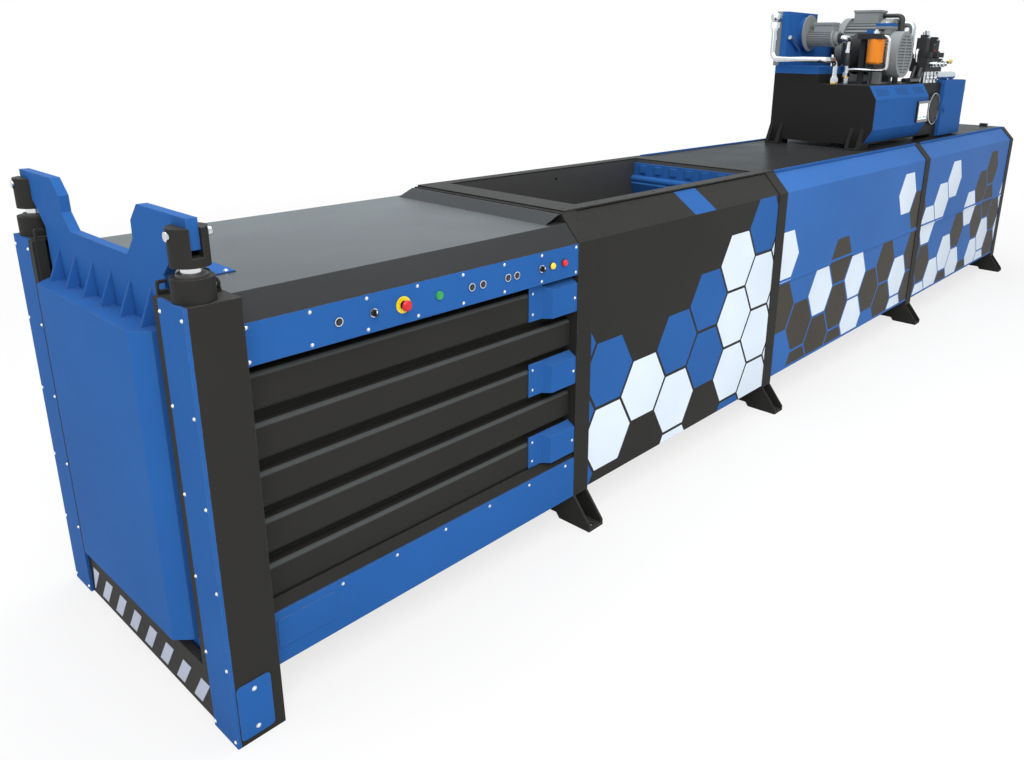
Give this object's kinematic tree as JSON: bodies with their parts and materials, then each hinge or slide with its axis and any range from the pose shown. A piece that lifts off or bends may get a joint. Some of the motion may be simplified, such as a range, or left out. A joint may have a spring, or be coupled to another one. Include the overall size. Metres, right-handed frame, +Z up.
{
  "type": "horizontal baler",
  "caption": "Long horizontal baling press with a hydraulically lifted end door, a top feed hopper, a pressing ram and a power pack on its rear deck",
  "frame": {"origin": "middle of the length and width at ground level", "axes": "+X from the door end to the rear end, +Y away from the control side, +Z up"},
  "size_m": [8.774, 1.424, 2.558],
  "materials": {
    "black_paint": "satin, slightly dusty black-grey enamel",
    "blue_paint": "semi-gloss blue enamel",
    "livery_black": "satin black-grey with a blue and white honeycomb field",
    "livery_blue": "semi-gloss blue with a white and dark honeycomb field",
    "tank_black": "satin black enamel",
    "deck_black": "satin black-grey, walked on",
    "bright_steel": "bright drawn steel",
    "chrome_rod": "ground hard chrome",
    "worn_steel": "worn plate, dark",
    "motor_grey": "satin grey machine enamel",
    "pump_iron": "dark cast housing",
    "filter_orange": "gloss orange enamel",
    "cable_black": "matt cable sheath",
    "control_black": "fine matt moulding",
    "control_green": "gloss cap",
    "control_red": "gloss mushroom head",
    "control_yellow": "gloss disc",
    "lamp_lens": "ribbed lens in a dark bezel",
    "screen": "dark frame round a pale screen",
    "cooler_grey": "bare fins",
    "lid_black": "dark lid with a bright rim"
  },
  "bodies": {
    "frame": {"base_frame": "black_paint", "front_post_left": "black_paint", "front_post_right": "black_paint", "guide_strips": "blue_paint", "cover_plates": "blue_paint", "front_crossbeams": "black_paint", "side_beams_left": "black_paint", "side_beams_right": "black_paint", "retainer_covers": "blue_paint", "side_rails": "blue_paint", "roof": "deck_black", "control_panel": "blue_paint", "rib_frames": "black_paint", "hopper_panels": "livery_black", "hopper_rim": "black_paint", "hopper_walls": "worn_steel", "shear_beam": "blue_paint", "upper_panels": "livery_blue", "lower_panels": "livery_blue", "deck_plates": "deck_black", "saddle_feet": "black_paint", "rear_plate": "black_paint", "lift_cylinders": "black_paint", "post_brackets": "black_paint", "press_cylinder": "black_paint", "control_bezels": "control_black", "estop_plate": "control_yellow", "pilot_lamps": "lamp_lens", "oil_tank": "tank_black", "tank_cover": "blue_paint", "operator_display": "screen", "inspection_cover": "lid_black", "control_cabinet": "blue_paint", "cooler_core": "cooler_grey", "cooler_shroud": "blue_paint", "fan_motor": "motor_grey", "pump_motors": "motor_grey", "pumps": "pump_iron", "oil_filter": "filter_orange", "oil_pipes": "bright_steel", "valve_block": "pump_iron", "valve_cartridges": "bright_steel", "motor_cables": "cable_black"},
    "door": {"door_plate": "blue_paint", "door_box": "blue_paint", "lift_clevises": "black_paint", "clevis_pins": "bright_steel", "lift_rods": "chrome_rod"},
    "ram": {"ram": "worn_steel", "ram_rod": "chrome_rod"},
    "cabinet_door": {"cabinet_door": "blue_paint"},
    "emergency_stop": {"emergency_stop": "control_red"},
    "selector_1": {"selector_1": "control_black"},
    "selector_2": {"selector_2": "control_black"},
    "push_button_1": {"push_button_1": "control_black"},
    "push_button_2": {"push_button_2": "control_green"},
    "push_button_3": {"push_button_3": "control_black"},
    "push_button_4": {"push_button_4": "control_black"},
    "push_button_5": {"push_button_5": "control_black"},
    "push_button_6": {"push_button_6": "control_black"}
  },
  "joints": [
    {"name": "door_lift", "type": "slide", "parent": "frame", "child": "door", "axis": [0, 0, 1], "range_m": [0, 1.1]},
    {"name": "ram_slide", "type": "slide", "parent": "frame", "child": "ram", "axis": [-1, 0, 0], "range_m": [0, 2.35]},
    {"name": "cabinet_door_hinge", "type": "hinge", "parent": "frame", "child": "cabinet_door", "pos_m": [3.139, -0.413, 1.76], "axis": [0, 0, 1], "range_deg": [0, 110]},
    {"name": "push_button_1_press", "type": "slide", "parent": "frame", "child": "push_button_1", "axis": [0, 1, 0], "range_m": [0, 0.005], "stiffness_N_per_m": 400},
    {"name": "push_button_2_press", "type": "slide", "parent": "frame", "child": "push_button_2", "axis": [0, 1, 0], "range_m": [0, 0.005], "stiffness_N_per_m": 400},
    {"name": "push_button_3_press", "type": "slide", "parent": "frame", "child": "push_button_3", "axis": [0, 1, 0], "range_m": [0, 0.005], "stiffness_N_per_m": 400},
    {"name": "push_button_4_press", "type": "slide", "parent": "frame", "child": "push_button_4", "axis": [0, 1, 0], "range_m": [0, 0.005], "stiffness_N_per_m": 400},
    {"name": "push_button_5_press", "type": "slide", "parent": "frame", "child": "push_button_5", "axis": [0, 1, 0], "range_m": [0, 0.005], "stiffness_N_per_m": 400},
    {"name": "push_button_6_press", "type": "slide", "parent": "frame", "child": "push_button_6", "axis": [0, 1, 0], "range_m": [0, 0.005], "stiffness_N_per_m": 400},
    {"name": "emergency_stop_press", "type": "slide", "parent": "frame", "child": "emergency_stop", "axis": [0, 1, 0], "range_m": [0, 0.006]},
    {"name": "selector_1_turn", "type": "hinge", "parent": "frame", "child": "selector_1", "pos_m": [-3.67492, -0.612, 1.322], "axis": [0, 1, 0], "range_deg": [0, 90]},
    {"name": "selector_2_turn", "type": "hinge", "parent": "frame", "child": "selector_2", "pos_m": [-2.83064, -0.612, 1.322], "axis": [0, 1, 0], "range_deg": [-45, 45]}
  ]
}
